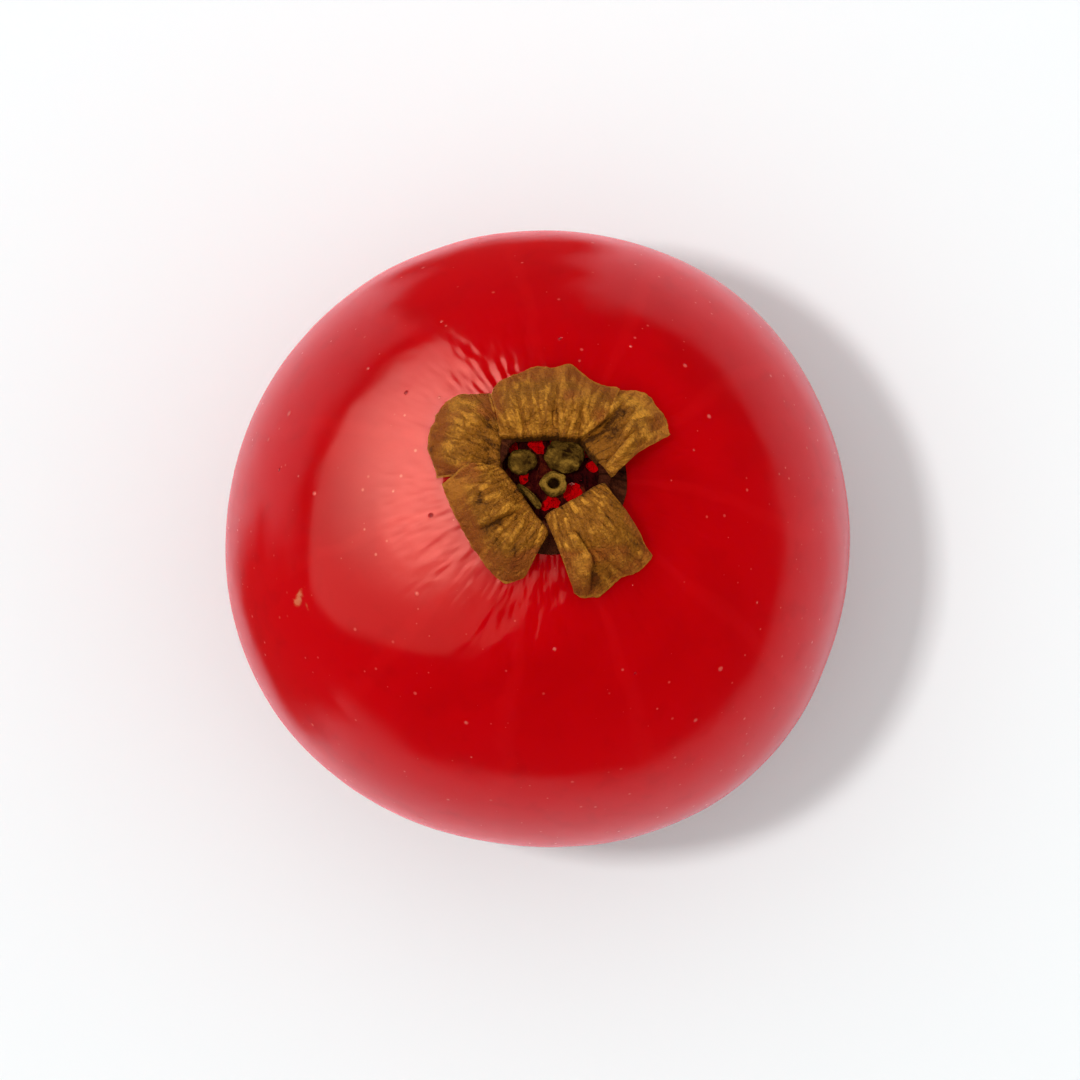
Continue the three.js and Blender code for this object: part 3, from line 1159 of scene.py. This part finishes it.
    def build_cup(self) -> None:
        """Makes the dried tube: an open ring with upright wrinkles and an uneven rim."""
        base, rim, wall, top = self.cup_base, self.cup_rim, self.cup_wall, self.cup_height
        foot = float(self.berry.skin_height(base))
        corners = [
            (base - 2.0 * wall, foot - 0.02), (base - 0.5 * wall, foot - 0.02), (base, foot + 0.02),
            (rim + 0.16, 0.14), (rim + 0.05, 0.3), (rim + 0.02, top - 0.04), (rim - 0.5 * wall, top),
            (rim - wall, top - 0.05), (rim - wall, 0.3), (rim - 0.8 * wall, 0.12),
        ]
        closed = np.array(corners[-1:] + corners + corners[:2])
        rows, sides = self.cup_mesh
        place = np.linspace(1.0, len(corners) + 1.0, rows, endpoint=False)
        phi, radius, height = ring_grid(sides, *smooth_line(closed, place / (len(closed) - 1)).T)
        places = polar(5.0, phi, height * 2.5)
        ridges = Lattice(31).layered(places)
        upper = np.clip(height / top, 0.0, 1.0)
        radius = radius + self.cup_wrinkle * ridges * upper**0.5
        height = height + self.rim_wave * Lattice(32).at(places * 0.6) * upper
        plan = np.stack([phi, height, radius], axis=-1)
        traces = {Trace.GRAIN: plan, Trace.FOLD_AND_SHADE: ridges, Trace.EDGE: upper * 0.5}
        faces = grid_faces(rows, sides, True, True)
        cup = Piece("flower_cup", "calyx_cup", Slot.DARK_CUP, self.cup_finish.material())
        cup.make(self.place(polar(radius, phi, height)), faces, traces)

    def build_disc(self) -> None:
        """Makes the dried disc on the floor of the cup, still fresh and red between its crumpled parts."""
        rows, sides = self.disc_mesh
        phi, radius = ring_grid(sides, np.linspace(self.disc_radius, 0.01, rows))
        seen = polar(radius, phi, 0.0)
        crumple = Lattice(33).layered(seen * 5.0)
        ragged = 0.5 * Lattice(34).layered(seen * 9.0, 2)
        fresh = np.zeros_like(crumple)
        for x, y, size in self.red_spots:
            away = np.hypot(seen[..., 0] - x, seen[..., 1] - y) / size + ragged
            fresh = np.maximum(fresh, 1.0 / (1.0 + np.exp((away - 1.0) / 0.06)))
        height = self.berry.skin_height(radius) + self.disc_rise + 0.05 * crumple - 0.03 * fresh
        points = np.pad(polar(radius, phi, height), ((2, 1), (0, 0), (0, 0)), mode="edge")
        points[0] = (0.0, 0.0, -self.skirt)
        points[1] = points[1] * (0.98, 0.98, 0.0) + points[0]
        points[-1] = (0.0, 0.0, height[-1].mean())
        crumple, fresh = (np.pad(values, ((2, 1), (0, 0)), mode="edge") for values in (crumple, fresh))
        disc = Piece("flower_disc", "calyx_cup", Slot.DARK_CUP, self.disc_finish.material())
        disc.ball(self.place(points), {Trace.GRAIN: points, Trace.FOLD_AND_SHADE: crumple, Trace.EDGE: fresh})

    def build_sepal(self, sepal: Sepal, material: bpy.types.Material) -> None:
        """Makes a thin, wrinkled sheet that folds out of the cup and bends down to the berry.

        Args:
            sepal: which one.
            material: its finish.
        """
        rows, columns = self.sepal_mesh
        v, u = np.meshgrid(np.linspace(-self.hem, 1.0, rows), np.linspace(0.0, 1.0, columns), indexing="ij")
        seen = sepal.sheet(u, np.maximum(v, 0.0))
        grain = sepal.grain(seen)
        fold = sepal.creases(seen, grain) - self.hem_shade * np.clip(0.25 - v / self.hem * 2.0, 0.0, 1.0)
        sheet = self._sepal_sheet(sepal, v, seen, fold)
        aside = np.abs(2.0 * u - 1.0)
        edge = np.maximum(aside, np.maximum(v, 0.0)) * np.clip(v * 2.0, 0.0, 1.0)
        outer = np.maximum(aside, np.abs(2.0 * (v + self.hem) / (1.0 + self.hem) - 1.0))
        half = 0.5 * self.sepal_thickness * np.sqrt(np.clip(1.0 - outer**8, 0.0, 1.0))
        up = unit(np.cross(*np.gradient(sheet, axis=(0, 1)))) * half[..., None]
        # the fold trace carries the creases, the pleats' painted shadow and light, painted shade on the hem
        # inside the cup, and painted light, shade and stains from the spots
        traces = {Trace.GRAIN: grain, Trace.FOLD_AND_SHADE: fold + sepal.painted_shade_and_stains_at(seen), Trace.EDGE: edge}
        leaf = Piece(sepal.name, sepal.node, Slot.DRY_SEPAL, material)
        leaf.slab(self.place(sheet + up), self.place(sheet - up), traces)

    def _sepal_sheet(self, sepal: Sepal, v: Scalars, seen: Points, fold: Scalars) -> Points:
        """The middle of a sepal's sheet, in the berry's own axes from the pole.

        Args:
            sepal: which one.
            v: below 0 inside the cup, 0 at its rim, 1 at the tip.
            seen: the smooth sheet, seen from above.
            fold: its creases, with painted shadow and light, which also shape the relief.

        Returns:
            The points.
        """
        spread = np.clip(v, 0.0, 1.0)
        down = np.clip(-v / self.hem, 0.0, 1.0)
        jagged = self.raggedness * Lattice(sepal.seed).layered(seen * 4.0, 4)
        crumpled = Lattice(sepal.seed + 80).layered(seen * (6.0, 6.0, 0.0))
        points = self.pose.seen_from_above(seen)
        reach = self.sepal_reach + jagged * (0.5 + 0.5 * (2.0 * spread - 1.0) ** 2)
        points[..., :2] *= (reach - 0.06 * np.sin(down * math.pi / 2.0))[..., None]
        height = points[..., 2] - self.hem_depth * down**1.3
        height += sum(pleat.lift(seen) for pleat in sepal.pleats) * np.clip(4.0 * spread + 0.2, 0.0, 1.0)
        relief = np.clip(fold, -1.0, 1.0) * self.crease_height + crumpled * self.crumple_height
        height += relief * np.clip(0.4 + v * 2.0, 0.0, 1.0)
        skin = self.berry.skin_height(np.hypot(points[..., 0], points[..., 1]))
        resting = skin + 0.5 * self.sepal_thickness + self.clearance
        points[..., 2] = np.where(v > 0.25, np.maximum(height, resting), height)
        return points

    def build_knob(self, knob: Knob, material: bpy.types.Material) -> None:
        """Makes the style's stump or a withered anther.

        Args:
            knob: which one.
            material: its finish.
        """
        rows, sides = self.knob_mesh
        outline = np.array(knob.outline) * (*knob.size, 1.0)
        closed = np.vstack([outline[:1] * (0.0, 1.0, 1.0), outline, outline[-1:] * (0.0, 1.0, 1.0)])
        radius, height, light = resampled(closed, rows)
        for _ in range(3):
            for column in (radius, height):
                column[1:-1] = np.convolve(column, (0.25, 0.5, 0.25), "valid")
        top = height.max()
        turn = np.array(Matrix.Rotation(float(knob.seed), 3, "Z"))
        phi, radius, height, light = ring_grid(sides, radius, height, light)
        places = polar(radius * 9.0, phi, height * 6.0 + knob.seed)
        lumps = Lattice(knob.seed).layered(places * 0.8)
        creases = Lattice(knob.seed + 3).creased(places @ turn * (0.45, 1.3, 0.7), 2.2)
        radius = radius * (1.0 + 0.05 * creases + 0.08 * lumps)
        points = polar(radius, phi, height * (1.0 + 0.012 * creases / top))
        points = points * (1.0, knob.squash, 1.0) + (*knob.spot, 0.0)
        # painted light and shade: lighter on the lumps and the profile's rim, darker in creases, at the foot
        # and in the hollow
        fold = 0.5 * creases + lumps + light
        traces = {Trace.GRAIN: points @ turn * (0.4, 1.0, 1.0), Trace.FOLD_AND_SHADE: fold, Trace.EDGE: 0.0 * fold}
        Piece(knob.name, knob.node, Slot.FLOWER_REMAINS, material).ball(self.place(points), traces)

    def build_thread(self, material: bpy.types.Material) -> None:
        """Makes a flattened filament that has fallen over.

        Args:
            material: its finish.
        """
        rows, sides = self.thread_mesh
        t = np.linspace(0.0, 1.0, rows)
        phi, along = ring_grid(sides, t)
        start, middle, end = np.array(self.thread)
        bow = 2.0 * middle - 0.5 * (start + end)
        t = t[:, None]
        path = start * (1 - t) ** 2 + 2 * bow * (t * (1 - t)) + end * t**2
        ahead = unit(np.gradient(path, axis=0))
        side = unit(np.cross(ahead, (0.0, 0.0, 1.0)))
        over = np.cross(side, ahead)
        wrinkle = 1.0 + 0.12 * np.cos(3.0 * phi + 5.0 * along)
        width = self.thread_width * np.sqrt(np.clip(1.0 - (2.0 * along - 1.0) ** 8, 0.0, 1.0)) * wrinkle
        across, up = ((width * share)[..., None] for share in (np.cos(phi), 0.7 * np.sin(phi)))
        points = path[:, None] + side[:, None] * across + over[:, None] * up
        plan = np.stack([phi * 0.1, along * 0.6, 0.0 * phi], axis=-1)
        traces = {Trace.GRAIN: plan, Trace.FOLD_AND_SHADE: wrinkle - 0.4, Trace.EDGE: 0.0 * wrinkle}
        thread = Piece("filament_thread", "filament_1", Slot.FLOWER_REMAINS, material)
        thread.ball(self.place(points), traces)


# ---------------------------------------------------------------- the stalk end


@dataclass(frozen=True)
class StalkEnd:
    """The broken end of the stalk in its dip, on the underside."""

    berry: Berry
    pose: Pose
    radius: float = 0.3
    height: float = 0.15
    rib_count: float = 9.0
    rib_height: float = 0.025  # as a share of the radius
    lip: float = 0.06  # how far up the torn end reaches
    mesh: tuple[int, int] = (40, 72)  # points along the profile and round the axis
    finish: Finish = DryLeaf(
        "broken_stalk",
        lit_ridge=(0.6, 0.42, 0.16),
        body=(0.36, 0.17, 0.05),
        shaded_furrow=(0.1, 0.04, 0.015),
        tinge=(0.5, 0.4, 0.2),
    )

    def build(self) -> None:
        """Makes the stub: a ribbed collar round a torn, fibrous end."""
        root = -float(self.berry.skin_radius(math.pi)) + 0.02
        end = root - self.height - 0.05
        r = self.radius
        profile = [
            (0.0, end + 0.05), (r * 0.35, end + 0.035), (r * 0.6, end + 0.02), (r * 0.85, end),
            (r * 0.97, end + 0.02), (r, end + 0.06), (r * 0.95, end + 0.12), (r, root), (0.0, root + 0.02),
        ]
        rows, sides = self.mesh
        phi, radius, height = ring_grid(sides, *resampled(np.array(profile), rows))
        torn = Lattice(61).layered(polar(radius * 14.0, phi, height * 4.0))
        radius = radius * (1.0 + self.rib_height * np.cos(self.rib_count * phi + 2.0 * torn))
        lift = np.clip(0.02 * torn, 0.0, 0.04) * (height < end + self.lip)
        traces = {
            Trace.GRAIN: np.stack([phi * 0.3, height, radius], axis=-1),
            Trace.FOLD_AND_SHADE: np.clip(torn, -1.0, 1.0),
            Trace.EDGE: np.clip(1.0 - (height - end) / self.lip, 0.0, 1.0),
        }
        stub = Piece("stalk_end", "stalk_stub", Slot.STALK, self.finish.material())
        stub.ball(self.pose.place(polar(radius, phi, height + lift)), traces)


# ---------------------------------------------------------------- studio


@dataclass(frozen=True)
class Lamp:
    """A rectangle of light that faces the berry; places on it are shares of its distance."""

    name: str
    facing: Triple  # from the berry to the plane of the lamp
    distance: float  # in metres
    low: tuple[float, float]  # its lowest corner, across and up from the foot of that line
    high: tuple[float, float]
    power: float
    gleams: bool  # whether glossy surfaces mirror it
    lights: bool  # whether it lights matt surfaces
    colour: Colour = (1.0, 1.0, 1.0)

    def build(self) -> None:
        """Makes the lamp."""
        light = bpy.data.lights.new(self.name, "AREA")
        light.shape = "RECTANGLE"
        light.size, light.size_y = (self.distance * (high - low) for low, high in zip(self.low, self.high))
        light.energy = self.power
        light.use_nodes = True
        graph = Graph(light.node_tree)
        graph.close("Light", "Emission", {"Color": self.colour, "Strength": self.glow(graph)})
        lamp = bpy.data.objects.new(self.name, light)
        bpy.context.scene.collection.objects.link(lamp)
        toward = Vector(self.facing).normalized()
        across = Vector((0.0, 0.0, 1.0)).cross(toward).normalized()
        up = toward.cross(across)
        x, y = ((low + high) / 2.0 for low, high in zip(self.low, self.high))
        middle = (toward + across * x + up * y) * self.distance
        lamp.matrix_world = Matrix.Translation(middle) @ Matrix((across, up, toward)).transposed().to_4x4()
        lamp.visible_camera = False
        lamp.visible_glossy = self.gleams
        lamp.visible_diffuse = self.lights

    def glow(self, graph: Graph) -> Signal | float:
        """The lamp's brightness over its face."""
        return 1.0


@dataclass(frozen=True)
class ClothLamp(Lamp):
    """Diffusing cloth with slanting edges, brightest in front of its bulb."""

    colour: Colour = (1.0, 0.98, 0.92)
    edges: tuple[Triple, ...] = (  # (a, b, c): lit where x * a + y * b < c
        (-1.0, 0.0, 0.55), (0.92, -0.39, 2.12), (-0.41, 0.91, 1.5), (0.7, 0.7, 3.2),
    )
    hot: float = 9.2  # how much brighter the cloth is in front of the bulb
    hot_spot: tuple[float, float] = (0.12, 0.12)
    hot_size: tuple[float, float] = (0.54, 0.74)  # across and along the diagonal of the cloth

    def glow(self, graph: Graph) -> Signal | float:
        """The cloth's brightness over its face.

        Args:
            graph: where the nodes go.

        Returns:
            The brightness.
        """
        face = graph.parts(graph.out(graph.add("NewGeometry", {}, {}), "Parametric"))
        x, y = (part * (high - low) + low for part, low, high in zip(face, self.low, self.high))
        lit: Signal | float = 1.0
        for a, b, c in self.edges:
            lit = lit * graph.step(x * a + y * b, c + 0.04, c - 0.04)
        across = (x - y - (self.hot_spot[0] - self.hot_spot[1])) * (math.sqrt(0.5) / self.hot_size[0])
        along = (x + y - (self.hot_spot[0] + self.hot_spot[1])) * (math.sqrt(0.5) / self.hot_size[1])
        fading = graph.maths("POWER", math.e, 0.0 - (across * across + along * along))
        return lit * (1.0 + self.hot * fading)


@dataclass(frozen=True)
class Studio:
    """A pale floor, soft lamps up to the left, a dark room, and a camera that looks down."""

    floor_size: float = 8.0  # in metres
    sheet_size: float = 0.3  # in metres
    sheet_height: float = 0.02  # in millimetres
    lens: float = 500.0  # in millimetres
    seen_width: float = 0.0172  # how much the view holds across at the berry's waist, in metres
    bounces: tuple[int, int, int] = (4, 2, 2)  # of light in all, off matt and off glossy surfaces
    ground: Finish = PaleFloor()
    gleam: Finish = GleamSheet()
    lamps: tuple[Lamp, ...] = (
        Lamp("cloth", (-0.58, 0.52, 0.616), 0.4, (-0.53, -0.78), (2.44, 2.1), 1.0, False, True),
        ClothLamp("cloth_gleam", (-0.58, 0.52, 0.616), 0.4, (-0.6, -0.82), (3.5, 3.0), 17.3, True, False),
        Lamp("key", (-0.27, 0.05, 1.0), 0.6, (-0.04, -0.04), (0.04, 0.04), 1.4, False, True),
        Lamp("fill", (0.001, 0.0, 1.0), 0.5, (-1.0, -2.2), (1.9, 1.0), 7.3, False, True, (0.95, 1.0, 1.0)),
    )

    def build(self, middle: Vector) -> None:
        """Makes the stage round the berry.

        Args:
            middle: the berry's middle, in metres.
        """
        floor = self._flat("floor", self.floor_size, 0.0, self.ground)
        floor.visible_glossy = False
        sheet = self._flat("gleam_sheet", self.sheet_size, self.sheet_height, self.gleam)
        sheet.visible_camera = sheet.visible_diffuse = sheet.visible_shadow = False
        for lamp in self.lamps:
            lamp.build()
        self._room()
        self._camera(middle)

    @staticmethod
    def _flat(name: str, size: float, height: float, finish: Finish) -> Any:
        """Lays out a flat square.

        Args:
            name: its name.
            size: its side, in metres.
            height: how high it lies, in millimetres.
            finish: its finish.

        Returns:
            The square.
        """
        half = size / 2.0 / MM
        corners = [(-half, -half, height), (half, -half, height), (half, half, height), (-half, half, height)]
        square = mesh_object(name, np.array(corners), [(0, 1, 2, 3)], {})
        square.data.materials.append(finish.material())
        return square

    def _room(self) -> None:
        """Makes it dark overhead and pale below the horizon, and says how far light is followed."""
        world = bpy.data.worlds.new("room")
        world.use_nodes = True
        graph = Graph(world.node_tree)
        height = graph.parts(graph.out(graph.add("TexCoord", {}, {}), "Generated"))[2]
        colour = graph.blend((0.8, 0.8, 0.8), (0.012, 0.012, 0.013), graph.step(height, -0.01, 0.02))
        graph.close("World", "Background", {"Color": colour, "Strength": 1.0})
        scene = bpy.context.scene
        scene.world = world
        world.cycles_visibility.glossy = False
        world.cycles.sampling_method = "NONE"
        scene.cycles.use_light_tree = False
        scene.cycles.max_bounces, scene.cycles.diffuse_bounces, scene.cycles.glossy_bounces = self.bounces

    def _camera(self, middle: Vector) -> None:
        """Sets a long lens straight above the berry, with +Y at the top of the view.

        Args:
            middle: the berry's middle, in metres.
        """
        data = bpy.data.cameras.new("camera")
        data.sensor_width = 36.0
        data.lens = self.lens
        distance = self.seen_width * data.lens / data.sensor_width
        data.clip_start, data.clip_end = 0.01, 10.0
        camera = bpy.data.objects.new("camera", data)
        camera.location = middle + Vector((0.0, 0.0, distance))
        bpy.context.scene.collection.objects.link(camera)
        bpy.context.scene.camera = camera
        bpy.context.scene.view_settings.view_transform = "Standard"


def main() -> None:
    """Builds every piece in order."""
    logging.basicConfig(level=logging.INFO, format="%(message)s")
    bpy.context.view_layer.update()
    pose = Pose.from_frame()
    berry = Berry()
    berry.build(pose)
    FlowerEnd(berry, pose).build()
    StalkEnd(berry, pose).build()
    Studio().build(pose.middle * MM)


if __name__ == "__main__":
    main()
